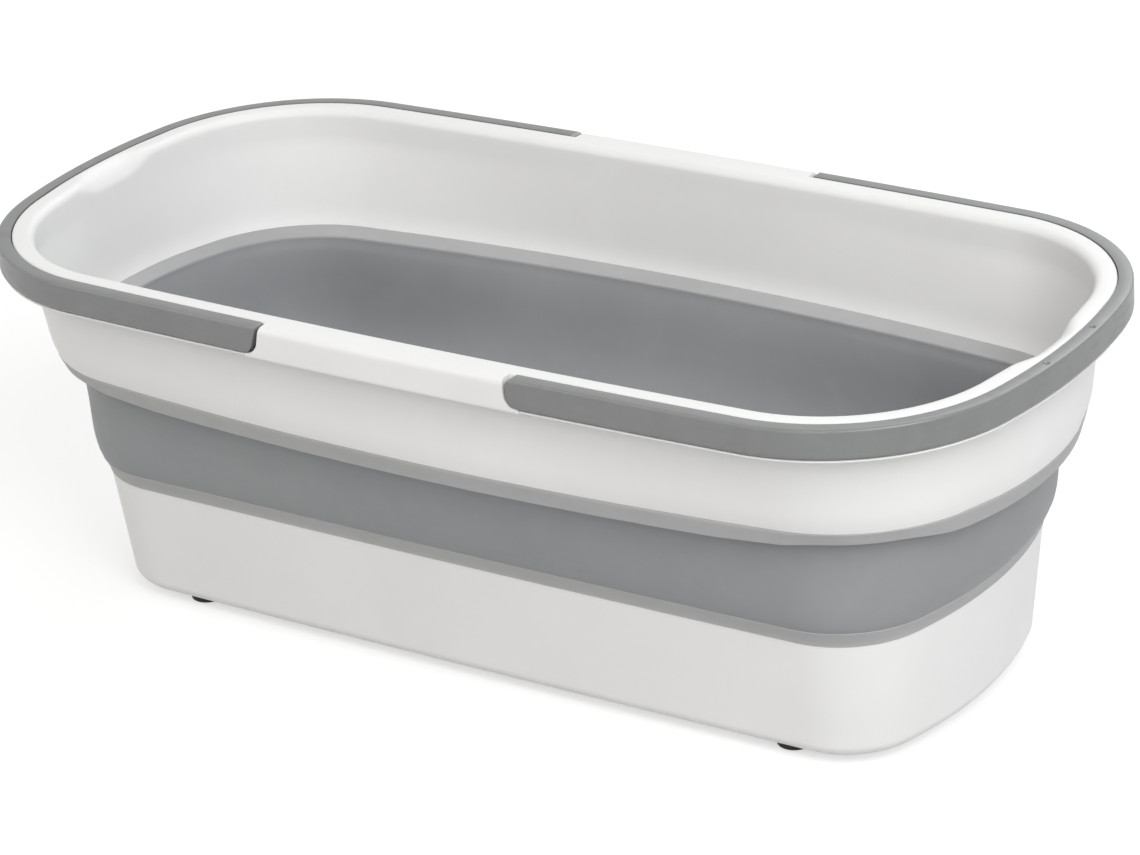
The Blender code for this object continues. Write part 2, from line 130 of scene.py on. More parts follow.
# The quarters in order round the bucket: signs of X and Y, whether the places run backwards there,
# and how the handle arm there ends.
quarters = ((1, -1, False, "round"), (1, 1, True, "slant"),
            (-1, 1, False, "round"), (-1, -1, True, "slant"))
placeSteps = {"side": 6, "corner": 20, "end": 8, "hoopEnd": 10}
cornerPlaces = [1 + step / placeSteps["corner"] for step in range(placeSteps["corner"])]
finePlaces = [step / placeSteps["side"] for step in range(placeSteps["side"])] + cornerPlaces
finePlaces += [2 + step / placeSteps["end"] for step in range(placeSteps["end"] + 1)]


def stationsRound(places):
    found = []
    for xSign, ySign, backwards, kind in quarters:
        run = places[:0:-1] if backwards else places[:-1]
        found += [(xSign, ySign, place, kind) for place in run]
    return found


def cornerPoints(corner, start, end, steps):  # a rounded corner of a section
    points = []
    for step in range(steps + 1):
        angle = math.pi / 2 * step / steps
        along, across = 1 - math.sin(angle), 1 - math.cos(angle)
        points.append((corner[0] + start[0] * along + end[0] * across,
                       corner[1] + start[1] * along + end[1] * across))
    return points


def bendPoints(inset, depth, radius, drop, steps):  # straight down, then curling inwards
    whole = math.asin(drop / radius)
    return [(inset + radius * (1 - math.cos(whole * step / steps)),
             depth + radius * math.sin(whole * step / steps)) for step in range(steps + 1)]


def eased(share):
    return 0.5 - 0.5 * math.cos(math.pi * min(max(share, 0), 1))


def straightPoints(start, end, steps):  # the points between, without the ends
    return [(start[0] + (end[0] - start[0]) * step / steps,
             start[1] + (end[1] - start[1]) * step / steps) for step in range(1, steps)]


# Modelling helpers: a circle is added and its loop is extruded from level to level. Angles are in
# degrees.
finishing = {"sharpAngle": 40, "shellAngle": 42, "handleAngle": 38, "bevelAngle": 50,
             "bevelSegments": 3, "mergeDistance": 0.000001}


def deselectAll():
    bpy.ops.object.select_all(action="DESELECT")


def placeLoop(piece, points, row):
    shape = bmesh.from_edit_mesh(piece.data)
    station = shape.verts.layers.int.get("station") or shape.verts.layers.int.new("station")
    level = shape.verts.layers.int.get("level") or shape.verts.layers.int.new("level")
    if row == 0:
        for number, vert in enumerate(shape.verts):
            vert[station] = number
    for vert in shape.verts:
        if vert.select:
            vert.co = points[vert[station]]
            vert[level] = row
    bmesh.update_edit_mesh(piece.data)


def extrudedLoops(name, loops, closed):
    deselectAll()
    bpy.ops.mesh.primitive_circle_add(vertices=len(loops[0]), radius=bucket["width"] / 2)
    piece = bpy.context.object
    piece.name = piece.data.name = name
    bpy.ops.object.mode_set(mode="EDIT")
    placeLoop(piece, loops[0], 0)
    for row, points in enumerate(loops[1:] + loops[:1] if closed else loops[1:]):
        bpy.ops.mesh.extrude_region_move()
        placeLoop(piece, points, row + 1)
    bpy.ops.mesh.select_all(action="SELECT")
    if closed:
        bpy.ops.mesh.remove_doubles(threshold=finishing["mergeDistance"])
    return piece


def selectLevel(piece, row):
    bpy.ops.mesh.select_all(action="DESELECT")
    shape = bmesh.from_edit_mesh(piece.data)
    level = shape.verts.layers.int["level"]
    for vert in shape.verts:
        vert.select = vert[level] == row
    shape.select_flush(True)
    bmesh.update_edit_mesh(piece.data)


def finishPiece(piece, surface, body, node, sharpAngle=finishing["sharpAngle"],
                bevel=0):
    bpy.ops.mesh.select_all(action="SELECT")
    bpy.ops.mesh.normals_make_consistent(inside=False)
    bpy.ops.object.mode_set(mode="OBJECT")
    if bevel:
        soften = piece.modifiers.new("soften", "BEVEL")
        soften.width = bevel
        soften.segments = finishing["bevelSegments"]
        soften.limit_method = "ANGLE"
        soften.angle_limit = math.radians(finishing["bevelAngle"])
        bpy.ops.object.modifier_apply(modifier="soften")
    bpy.ops.object.shade_smooth_by_angle(angle=math.radians(sharpAngle))
    piece.data.materials.clear()
    piece.data.materials.append(surface)
    if body:  # the fold band is given none; the real band bends between the upper part and the base
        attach(piece, body)
    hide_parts(node)
    return piece


def sectionPiece(name, section, surface, body, node, closed=True):
    loops = [[worldPoint(xSign, ySign, place, inset, depth)
              for xSign, ySign, place, kind in stationsRound(finePlaces)]
             for inset, depth in section]
    piece = extrudedLoops(name, loops, closed)
    if not closed:  # a flat floor over the first loop and over the last
        for row in (0, len(loops) - 1):
            selectLevel(piece, row)
            bpy.ops.mesh.edge_face_add()
    return finishPiece(piece, surface, body, node)


# Materials. Each has a faint mottle and bloom in its colour, a fine moulded grain, uneven gloss
# and thin rubbed marks that show only in the gloss.
finishes = {
    "whiteShell": {"low": (0.850, 0.850, 0.847), "high": (0.884, 0.884, 0.882),
                   "bloom": (0.902, 0.902, 0.899), "bloomShare": 0.35, "mottle": 11,
                   "roughness": (0.36, 0.45), "rubbed": 0.10, "grain": 0.06, "grainScale": 1100,
                   "ripple": 0.05, "specular": 0.34, "sheen": 0.0},
    "lightStrip": {"low": (0.414, 0.415, 0.421), "high": (0.450, 0.451, 0.458),
                   "bloom": (0.491, 0.492, 0.499), "bloomShare": 0.30, "mottle": 26,
                   "roughness": (0.50, 0.62), "rubbed": 0.06, "grain": 0.16, "grainScale": 1900,
                   "ripple": 0.06, "specular": 0.36, "sheen": 0.06},
    "foldBand": {"low": (0.287, 0.295, 0.307), "high": (0.309, 0.317, 0.329),
                 "bloom": (0.346, 0.355, 0.367), "bloomShare": 0.20, "mottle": 22,
                 "roughness": (0.50, 0.64), "rubbed": 0.07, "grain": 0.18, "grainScale": 1900,
                 "ripple": 0.08, "specular": 0.34, "sheen": 0.08},
    "liner": {"low": (0.263, 0.271, 0.280), "high": (0.284, 0.292, 0.301),
              "bloom": (0.320, 0.329, 0.338), "bloomShare": 0.20, "mottle": 20,
              "roughness": (0.52, 0.66), "rubbed": 0.08, "grain": 0.18, "grainScale": 1900,
              "ripple": 0.08, "specular": 0.34, "sheen": 0.08},
    "handle": {"low": (0.156, 0.160, 0.162), "high": (0.179, 0.184, 0.186),
               "bloom": (0.212, 0.217, 0.219), "bloomShare": 0.28, "mottle": 34,
               "roughness": (0.32, 0.44), "rubbed": 0.12, "grain": 0.13, "grainScale": 1400,
               "ripple": 0.04, "specular": 1.0, "sheen": 0.0},
    "footRubber": {"low": (0.018, 0.018, 0.018), "high": (0.030, 0.030, 0.030),
                   "bloom": (0.050, 0.049, 0.047), "bloomShare": 0.5, "mottle": 90,
                   "roughness": (0.65, 0.80), "rubbed": 0.05, "grain": 0.25,
                   "grainScale": 1600, "ripple": 0.0, "specular": 0.3, "sheen": 0.05},
}

# Scales, spans and depths that all the finishes share.
texture = {
    "mottleDetail": 5, "mottleSpan": (0.32, 0.68), "glossSpan": (0.3, 0.7),
    "patchFactor": 4.3, "patchDetail": 6, "patchSpan": (0.50, 0.72),
    "markStretch": (1, 1.6, 9), "markScale": 70, "markDetail": 7, "markSpan": (0.56, 0.66),
    "grainDetail": 3, "grainDepth": 0.0002, "rippleScale": 38, "rippleDetail": 1,
    "rippleDepth": 0.001, "sheenRoughness": 0.45,
}


def noiseNode(tree, place, scale, detail, name):
    noise = tree.nodes.new("ShaderNodeTexNoise")
    noise.name = name
    noise.inputs["Scale"].default_value = scale
    noise.inputs["Detail"].default_value = detail
    tree.links.new(place, noise.inputs["Vector"])
    return noise.outputs["Fac"]


def spreadNode(tree, value, span, result):
    spread = tree.nodes.new("ShaderNodeMapRange")
    for name, number in zip(("From Min", "From Max", "To Min", "To Max"), (*span, *result)):
        spread.inputs[name].default_value = number
    tree.links.new(value, spread.inputs["Value"])
    return spread.outputs["Result"]


def mathNode(tree, operation, first, second):
    node = tree.nodes.new("ShaderNodeMath")
    node.operation = operation
    for socket, value in zip(node.inputs, (first, second)):
        if isinstance(value, (int, float)):
            socket.default_value = value
        else:
            tree.links.new(value, socket)
    return node.outputs[0]


def bumpNode(tree, height, strength, distance):
    bump = tree.nodes.new("ShaderNodeBump")
    bump.inputs["Strength"].default_value = strength
    bump.inputs["Distance"].default_value = distance
    tree.links.new(height, bump.inputs["Height"])
    return bump


def moulded(name):
    wanted = finishes[name]
    surface = bpy.data.materials.new(name)
    surface.use_nodes = True
    tree = surface.node_tree
    nodes, links = tree.nodes, tree.links
    shader = nodes["Principled BSDF"]
    place = nodes.new("ShaderNodeTexCoord").outputs["Object"]

    # colour: a slow mottle with paler bloom in patches
    mottle = noiseNode(tree, place, wanted["mottle"], texture["mottleDetail"], "mottle")
    ramp = nodes.new("ShaderNodeValToRGB")
    for element, position, tone in zip(ramp.color_ramp.elements, texture["mottleSpan"],
                                       (wanted["low"], wanted["high"])):
        element.position = position
        element.color = (*tone, 1)
    links.new(mottle, ramp.inputs["Fac"])
    patches = noiseNode(tree, place, wanted["mottle"] * texture["patchFactor"],
                        texture["patchDetail"], "patches")
    bloom = nodes.new("ShaderNodeMixRGB")
    bloom.inputs["Color2"].default_value = (*wanted["bloom"], 1)
    links.new(spreadNode(tree, patches, texture["patchSpan"], (0, wanted["bloomShare"])),
              bloom.inputs["Fac"])
    links.new(ramp.outputs["Color"], bloom.inputs["Color1"])
    links.new(bloom.outputs["Color"], shader.inputs["Base Color"])

    # gloss: uneven, with rubbed marks that run lengthwise
    stretch = nodes.new("ShaderNodeMapping")
    stretch.inputs["Scale"].default_value = texture["markStretch"]
    links.new(place, stretch.inputs["Vector"])
    marks = noiseNode(tree, stretch.outputs["Vector"], texture["markScale"],
                      texture["markDetail"], "marks")
    rubbed = spreadNode(tree, marks, texture["markSpan"], (0, wanted["rubbed"]))
    gloss = spreadNode(tree, mottle, texture["glossSpan"], wanted["roughness"])
    links.new(mathNode(tree, "ADD", gloss, rubbed), shader.inputs["Roughness"])

    # relief: fine grain of the mould over a very slow ripple
    grain = noiseNode(tree, place, wanted["grainScale"], texture["grainDetail"], "grain")
    fine = bumpNode(tree, grain, wanted["grain"], texture["grainDepth"])
    if wanted["ripple"]:
        ripple = noiseNode(tree, place, texture["rippleScale"], texture["rippleDetail"], "ripple")
        slow = bumpNode(tree, ripple, wanted["ripple"], texture["rippleDepth"])
        links.new(slow.outputs["Normal"], fine.inputs["Normal"])
    links.new(fine.outputs["Normal"], shader.inputs["Normal"])
    shader.inputs["Specular IOR Level"].default_value = wanted["specular"]
    shader.inputs["Sheen Weight"].default_value = wanted["sheen"]
    shader.inputs["Sheen Roughness"].default_value = texture["sheenRoughness"]
    return surface


surfaces = {name: moulded(name) for name in finishes}
print("materials made")

# Handle arms and the channel that they lie in share these sizes. Beyond an arm's end its rows
# follow at pastEnd and runOn, then at the side places.
handleForm = {
    "thickness": 0.0057, "height": 0.0115, "topRound": 0.0010, "footRound": 0.0012,
    "endGap": 0.0010, "slant": 0.0040, "slantTop": 0.0014, "slantCorner": 0.0032,
    "roundTop": 0.0026, "roundFoot": 0.0055, "saddleSlant": 0.0023, "saddleCorner": 0.0050,
    "pivotDepth": 0.0030, "edgeSoftness": 0.00035, "pastEnd": 0.0010, "runOn": 0.006,
    "sidePlaces": (0.6, 0.8),
}
# Depths of an arm's rows, close together where its edges round.
armLevels = [0, 0.00006, 0.0002, 0.0004, 0.0007, 0.0011, 0.0017, 0.0024, 0.0032, 0.0041, 0.0050,
             0.0058, 0.0066, 0.0074, 0.0082, 0.0089, 0.0096, 0.0103, 0.0107, 0.0110, 0.01125,
             0.01142, 0.0115]


def armPlaces():
    past = bucket["armEnd"] + handleForm["roundFoot"] + handleForm["pastEnd"]
    return [alongSide(past), alongSide(past + handleForm["runOn"]), *handleForm["sidePlaces"]]


def outerInset(depth):
    for radius, past in ((handleForm["topRound"], handleForm["topRound"] - depth),
                         (handleForm["footRound"],
                          depth - handleForm["height"] + handleForm["footRound"])):
        if past > 0:
            return radius - math.sqrt(max(radius ** 2 - past ** 2, 0))
    return 0


def roundRun(radius, left):  # how far a rounded corner stands back near its end
    return radius - math.sqrt(radius ** 2 - (radius - left) ** 2) if left < radius else 0


def armEndRun(kind, depth):
    foot = max(0, handleForm["height"] - depth)
    if kind == "slant":
        run = handleForm["slant"] * depth / handleForm["height"]
        radius, top = handleForm["slantCorner"], handleForm["slantTop"]
    else:
        run = 0
        radius, top = handleForm["roundFoot"], handleForm["roundTop"]
    return run + roundRun(top, depth) + roundRun(radius, foot)


def saddleEndRun(kind, depth):
    depth = min(max(depth, 0), handleForm["height"])
    foot = handleForm["height"] - depth
    run, radius = 0, handleForm["roundFoot"]
    if kind == "slant":
        run = handleForm["saddleSlant"] * depth / handleForm["height"]
        radius = handleForm["saddleCorner"]
    return run + roundRun(radius, foot)


# Pegs of the handles, the holes they turn in and the dimples in the right handle's top. Root,
# reach, hole reach and mouth are insets.
pegForm = {
    "place": 0.0615, "radius": 0.0015, "holeRadius": 0.0017, "root": 0.0035, "reach": 0.0100,
    "holeReach": 0.0103, "mouth": 0.0050, "dimpleRadius": 0.0014, "dimpleDepth": 0.0009,
    "dimplePlace": 0.0180, "dimpleInset": 0.0036, "segments": 32, "rings": 24,
}


def joinShape(piece, helper, operation, sharpAngle):  # the helper is used up
    deselectAll()
    piece.select_set(True)
    bpy.context.view_layer.objects.active = piece
    change = piece.modifiers.new("change", "BOOLEAN")
    change.operation = operation
    change.solver = "EXACT"
    change.object = helper
    bpy.ops.object.modifier_apply(modifier="change")
    bpy.data.objects.remove(helper)
    bpy.ops.object.shade_smooth_by_angle(angle=math.radians(sharpAngle))


def crossRod(radius, xSign, ySign, innerEnd, outerEnd):  # lies across the rim's side
    deselectAll()
    x = pegForm["place"]
    place = alongSide(x)
    ends = [quarterPoint(place, inset, planShape(*bucket["rimPlan"]))[1]
            for inset in (innerEnd, outerEnd)]
    bpy.ops.mesh.primitive_cylinder_add(
        vertices=pegForm["segments"], radius=radius, depth=ends[1] - ends[0],
        rotation=(math.pi / 2, 0, 0),
        location=(xSign * x, ySign * (ends[0] + ends[1]) / 2,
                  bucket["height"] - handleForm["pivotDepth"]))
    return bpy.context.object


# Upper shell.
shellForm = {
    "channelInset": 0.0060, "rimInner": 0.0148, "edgeRound": 0.0010, "innerRound": 0.0034,
    "web": 0.0020, "thickness": 0.0055, "lipTop": 0.0122, "lipSetback": 0.0011,
    "lipRound": 0.0005, "saddleRound": 0.0024, "wall": 0.0028, "lean": 0.0003,
    "bendRadius": 0.0364, "bendDrop": 0.0090, "scoopCut": 0.0040, "scoopDrop": 0.0042,
    "scoopFlat": 0.0090, "scoopReach": 0.0270, "scoopEase": 1.5, "scoopMiddle": 0.5,
    "endStep": 0.0003, "wallFrom": 0.0020, "wallTo": 0.0112, "saddleFootRise": 0.0008,
    "saddleFootRun": 0.0012, "saddleShares": (0, 0.3, 0.6), "roundSteps": 4, "footSteps": 3,
    "innerSteps": 9, "outerWallSteps": 7, "bendSteps": 8, "innerWallSteps": 5, "scoopSteps": 12,
}


def makeShell():
    form = shellForm
    foot = bucket["lipFoot"]
    wallInset = form["rimInner"] - form["wall"]
    wallDepths = [depth for depth in armLevels if form["wallFrom"] < depth < form["wallTo"]]
    channel = cornerPoints((form["channelInset"], 0), (form["edgeRound"], 0),
                           (0, form["edgeRound"]), form["roundSteps"])
    channel += [(form["channelInset"], depth) for depth in wallDepths]
    channel += [(form["channelInset"], form["lipTop"])]
    channel += cornerPoints((form["lipSetback"], form["lipTop"]), (form["lipRound"], 0),
                            (0, form["lipRound"]), form["footSteps"])
    channel += [(form["lipSetback"] + form["lipRound"], foot)]
    saddle = cornerPoints((0, 0), (form["saddleRound"], 0), (0, form["saddleRound"]),
                          form["roundSteps"])
    saddle += [(0, depth) for depth in wallDepths]
    saddle += [(0, handleForm["height"])]
    saddle += cornerPoints((0, foot), (0, -form["saddleFootRise"]), (form["saddleFootRun"], 0),
                           form["footSteps"])
    saddle += [(form["lipSetback"] + form["lipRound"], foot)]
    inner = cornerPoints((form["rimInner"], 0), (0, form["innerRound"]),
                         (-form["innerRound"], 0), form["innerSteps"])
    web = form["channelInset"] + form["web"]
    groove = [(web, foot), (web, form["thickness"]), (wallInset, form["thickness"])]
    bendStart = (wallInset + form["lean"], bucket["shellFoot"] - form["bendDrop"])
    outerWall = [(wallInset, foot)]
    outerWall += straightPoints(outerWall[0], bendStart, form["outerWallSteps"])
    outerWall += bendPoints(*bendStart, form["bendRadius"], form["bendDrop"], form["bendSteps"])
    innerWall = [(inset + form["wall"], depth) for inset, depth in reversed(outerWall)]
    innerWall += straightPoints(innerWall[-1], inner[0], form["innerWallSteps"])
    tail = groove + outerWall + innerWall
    tailStart = len(inner) + len(channel)

    def stationPoints(xSign, ySign, place, kind, state):
        points = []
        whole = inner + (saddle if state.startswith("saddle") else channel) + tail
        for index, (inset, depth) in enumerate(whole):
            spot = place
            if state.endswith("End"):
                run = saddleEndRun(kind, depth)
                if index < len(inner) or index >= tailStart:
                    run = 0
                distance = bucket["armEnd"] - handleForm["endGap"] + run
                spot = alongSide(distance - (form["endStep"] if state == "saddleEnd" else 0))
            if spot > 2:
                y = abs(quarterPoint(spot, 0, planShape(*bucket["rimPlan"]))[1])
                away = (y - form["scoopFlat"]) / (form["scoopReach"] - form["scoopFlat"])
                share = 1 - eased(away)
                if index < len(inner):
                    turn = index / (len(inner) - 1)
                    inset -= form["scoopCut"] * turn * share
                    depth += form["scoopDrop"] * (1 - turn) ** form["scoopEase"] * share
                elif index > len(whole) - form["innerWallSteps"]:
                    rise = (foot - depth) / (foot - form["innerRound"])
                    depth += form["scoopDrop"] * rise * share
            points.append(worldPoint(xSign, ySign, spot, inset, depth))
        return points

    stations = [(alongSide(bucket["armEnd"] * share), "saddle")
                for share in form["saddleShares"]]
    stations += [(0, "saddleEnd"), (0, "channelEnd")]
    reach, flat, steps = form["scoopReach"], form["scoopFlat"], form["scoopSteps"]
    scoopPlaces = [acrossEnd(flat + (reach - flat) * (1 - step / steps))
                   for step in range(steps + 1)]
    scoopPlaces += [acrossEnd(flat * form["scoopMiddle"]), 3]
    stations += [(place, "channel") for place in armPlaces() + cornerPlaces + [2] + scoopPlaces]
    columns = []
    for xSign, ySign, backwards, kind in quarters:
        run = stations[:0:-1] if backwards else stations[:-1]
        columns += [stationPoints(xSign, ySign, place, kind, state) for place, state in run]
    loops = [list(loop) for loop in zip(*columns)]
    piece = extrudedLoops("rimAndWall", loops, True)
    finishPiece(piece, surfaces["whiteShell"], "upper", "upper_shell",
                sharpAngle=finishing["shellAngle"])
    for xSign, ySign, backwards, kind in quarters:
        hole = crossRod(pegForm["holeRadius"], xSign, ySign, pegForm["holeReach"],
                        pegForm["mouth"])
        joinShape(piece, hole, "DIFFERENCE", finishing["shellAngle"])


makeShell()
print("rim and wall made")

# Upper fold strip, with the ledge that shows inside.
stripForm = {
    "top": 0.04955, "foot": 0.0575, "inset": 0.01343, "lean": 0.0020, "wall": 0.0028,
    "skirt": 0.0035, "ledgeTop": 0.0520, "ledgeFoot": 0.0532, "ledgeEdge": 0.02243,
    "round": 0.0006, "cornerLift": 0.0026, "cornerMiddle": 1.45, "cornerReach": 0.65,
    "cornerEase": 0.45, "footCut": 0.0003, "topSteps": 3, "skirtSteps": 5, "footSteps": 4,
    "ledgeSteps": 4,
}


def makeUpperStrip():
    form = stripForm
    outer, skirt = form["inset"], form["inset"] + form["lean"]
    section = [(outer + form["wall"], form["top"])]
    section += cornerPoints((outer, form["top"]), (form["round"], 0), (0, form["round"]),
                            form["topSteps"])
    section += straightPoints((outer, form["top"] + form["round"]),
                              (skirt, form["foot"] - form["round"]), form["skirtSteps"])
    section += cornerPoints((skirt, form["foot"]), (0, -form["round"]), (form["round"], 0),
                            form["footSteps"])
    section += [(skirt + form["skirt"] - form["footCut"], form["foot"]),
                (skirt + form["skirt"], form["foot"] - form["footCut"])]
    lifted = len(section)
    section += [(skirt + form["skirt"], form["ledgeFoot"]), (form["ledgeEdge"], form["ledgeFoot"])]
    section += cornerPoints((form["ledgeEdge"], form["ledgeTop"]), (0, form["round"]),
                            (-form["round"], 0), form["ledgeSteps"])
    section += straightPoints((form["ledgeEdge"] - form["round"], form["ledgeTop"]),
                              (outer + form["wall"], form["top"]), form["ledgeSteps"])
    loops = []
    for index, (inset, depth) in enumerate(section):
        share = (depth - form["top"]) / (form["foot"] - form["top"]) if index < lifted else 0
        loop = []
        for xSign, ySign, place, kind in stationsRound(finePlaces):
            away = form["cornerReach"] - abs(place - form["cornerMiddle"])
            lift = form["cornerLift"] * eased(away / form["cornerEase"]) * share
            loop.append(worldPoint(xSign, ySign, place, inset, depth - lift))
        loops.append(loop)
    piece = extrudedLoops("upperStrip", loops, True)
    finishPiece(piece, surfaces["lightStrip"], "upper", "upper_fold_strip")


makeUpperStrip()

# Fold band: the soft wall that rolls inside out as the rim goes down.
bandForm = {
    "top": 0.0535, "foot": 0.0951, "footWidth": 0.0055, "steps": 3,
    "outer": ((0.0209, 0.05325), (0.0213, 0.0550), (0.0224, 0.0580), (0.0236, 0.0620),
              (0.0249, 0.0670), (0.0264, 0.0735), (0.0277, 0.0800), (0.0287, 0.0845),
              (0.0294, 0.0871), (0.0303, 0.0898), (0.0315, 0.0927), (0.03294, 0.0951)),
    "inner": ((0.0386, 0.0950), (0.0376, 0.0941), (0.0359, 0.0922), (0.0341, 0.0896),
              (0.0324, 0.0866), (0.0306, 0.0825), (0.0291, 0.0780), (0.0277, 0.0730),
              (0.0263, 0.0670), (0.0250, 0.0620), (0.0238, 0.0580), (0.0228, 0.0550),
              (0.0224, 0.05325)),
}


def smoothPoints(points, steps):  # a curve through the points
    ends = [points[0], *points, points[-1]]
    found = []
    for before, start, stop, after in zip(ends, ends[1:], ends[2:], ends[3:]):
        for step in range(steps):
            share = step / steps
            found.append(tuple(
                0.5 * (2 * b + (c - a) * share + (2 * a - 5 * b + 4 * c - d) * share ** 2
                       + (3 * b - a - 3 * c + d) * share ** 3)
                for a, b, c, d in zip(before, start, stop, after)))
    return found + [points[-1]]


def makeBand():
    form = bandForm
    outer = smoothPoints(form["outer"], form["steps"])
    inner = smoothPoints(form["inner"], form["steps"])
    section = outer + [(outer[-1][0] + form["footWidth"], form["foot"])] + inner
    piece = sectionPiece("rollingBand", section, surfaces["foldBand"], None, "fold_band")
    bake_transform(piece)


makeBand()

# Lower fold strip, tub and liner.
tubForm = {
    "stripTop": 0.0952, "stripFoot": 0.10195, "stripInset": 0.03294, "stripWidth": 0.0055,
    "stripSteps": 5, "edgeCut": 0.0004, "top": 0.1020, "foot": 0.1520, "inset": 0.03594,
    "lean": 0.0050, "wall": 0.0025, "round": 0.0060, "wallSteps": 6, "outerSteps": 10,
    "innerSteps": 8, "floorLoop": 0.0040,
}
linerForm = {
    "gap": 0.0028, "wall": 0.0012, "lift": 0.0003, "top": 0.0951, "wallSteps": 7,
    "outerSteps": 6, "innerSteps": 10,
    "lip": ((0, 0), (0.0004, 0.0003), (0.0009, 0.0011), (0.0012, 0.0022)),
}


def makeLowerStrip():
    form = tubForm
    inner, cut = form["stripInset"] + form["stripWidth"], form["edgeCut"]
    section = [(inner, form["stripTop"]), (form["stripInset"] + cut, form["stripTop"]),
               (form["stripInset"], form["stripTop"] + cut)]
    section += straightPoints((form["stripInset"], form["stripTop"]),
                              (form["inset"], form["stripFoot"]), form["stripSteps"])
    section += [(form["inset"] - cut, form["stripFoot"]), (inner, form["stripFoot"])]
    sectionPiece("lowerStrip", section, surfaces["lightStrip"], "base", "lower_fold_strip")


def makeTub():
    form = tubForm
    footInset = form["inset"] + form["lean"]
    section = [(footInset + form["round"] + form["floorLoop"], form["foot"])]
    section += cornerPoints((footInset, form["foot"]), (form["round"], 0),
                            (0, -form["round"]), form["outerSteps"])
    section += straightPoints((footInset, form["foot"] - form["round"]),
                              (form["inset"], form["top"]), form["wallSteps"])
    section += [(form["inset"], form["top"] + form["edgeCut"]),
                (form["inset"] + form["edgeCut"], form["top"])]
    section += [(form["inset"] + form["wall"], form["top"])]
    inner = footInset + form["wall"]
    floor = form["foot"] - form["wall"]
    section += cornerPoints((inner, floor), (0, -form["round"]), (form["round"], 0),
                            form["innerSteps"])
    section += [(inner + form["round"] + form["floorLoop"], floor)]
    sectionPiece("tub", section, surfaces["whiteShell"], "base", "lower_tub",
                 closed=False)


def makeLiner():
    form, tub = linerForm, tubForm
    bend, loop = tub["round"], tub["floorLoop"]
    floor = tub["foot"] - tub["wall"] - form["lift"]
    footInset = tub["inset"] + tub["lean"] + form["gap"]
    section = [(footInset + bend + loop, floor)]
    section += cornerPoints((footInset, floor), (bend, 0), (0, -bend), form["outerSteps"])
    lip = tub["inset"] + form["gap"]
    section += [(lip + inset, form["top"] + depth) for inset, depth in form["lip"]]
    inner = footInset + form["wall"]
    top = floor - form["wall"]
    section += straightPoints(section[-1], (inner, top - bend), form["wallSteps"])
    section += cornerPoints((inner, top), (0, -bend), (bend, 0), form["innerSteps"])
    section += [(inner + bend + loop, top)]
    sectionPiece("innerSkin", section, surfaces["liner"], "base", "tub_liner",
                 closed=False)


makeLowerStrip()
makeTub()
makeLiner()
print("strips, band, tub and liner made")


# Handles. A path runs round the hoop from the near arm's end to the far arm's end.
def makeHandle(name, side, body, node):
    form = handleForm
    nearKind, farKind = ("slant", "round") if side < 0 else ("round", "slant")
    places = armPlaces() + cornerPlaces
    places += [2 + step / placeSteps["hoopEnd"] for step in range(placeSteps["hoopEnd"] + 1)]
    path = [(-1, None, nearKind)] + [(-1, place, nearKind) for place in places]
    path += [(1, place, farKind) for place in reversed(places[:-1])] + [(1, None, farKind)]
    count = len(armLevels)
    order = list(range(count)) + list(reversed(range(count)))
    loops = []
    for ySign, place, kind in path:
        loop = []
        for index, level in enumerate(order):
            depth = armLevels[level]
            spot = place
            if place is None:
                spot = alongSide(bucket["armEnd"] + armEndRun(kind, depth))
            inset = outerInset(depth) if index < count else form["thickness"]
            loop.append(worldPoint(side, ySign, spot, inset, depth))
        loops.append(loop)
    piece = extrudedLoops(name, loops, False)
    shape = bmesh.from_edit_mesh(piece.data)
    station, level = shape.verts.layers.int["station"], shape.verts.layers.int["level"]
    for row in (0, len(loops) - 1):
        ends = {vert[station]: vert for vert in shape.verts if vert[level] == row}
        for step in range(count - 1):
            shape.faces.new((ends[step], ends[2 * count - 1 - step],
                             ends[2 * count - 2 - step], ends[step + 1]))
    bmesh.update_edit_mesh(piece.data)
    finishPiece(piece, surfaces["handle"], body, node,
                sharpAngle=finishing["handleAngle"], bevel=form["edgeSoftness"])
    for ySign in (-1, 1):
        peg = crossRod(pegForm["radius"], side, ySign, pegForm["reach"], pegForm["root"])
        joinShape(piece, peg, "UNION", finishing["handleAngle"])
    return piece


def makeDimple(piece, ySign):
    deselectAll()
    wide, deep = pegForm["dimpleRadius"], pegForm["dimpleDepth"]
    ball = (wide ** 2 + deep ** 2) / (2 * deep)
    bpy.ops.mesh.primitive_uv_sphere_add(
        segments=pegForm["segments"], ring_count=pegForm["rings"], radius=ball,
        location=(bucket["length"] / 2 - pegForm["dimpleInset"], ySign * pegForm["dimplePlace"],
                  bucket["height"] + ball - deep))
    joinShape(piece, bpy.context.object, "DIFFERENCE", finishing["handleAngle"])


makeHandle("leftHoop", -1, "left_handle_body", "left_handle")
rightHoop = makeHandle("rightHoop", 1, "right_handle_body", "right_handle")
makeDimple(rightHoop, -1)
makeDimple(rightHoop, 1)
print("handles made")

# Feet.
footForm = {"radius": 0.0070, "height": 0.0027, "edge": 0.0008, "fromEnd": 0.0910,
            "fromSide": 0.0540, "segments": 64, "edgeSteps": 4, "soleLimit": -0.9}


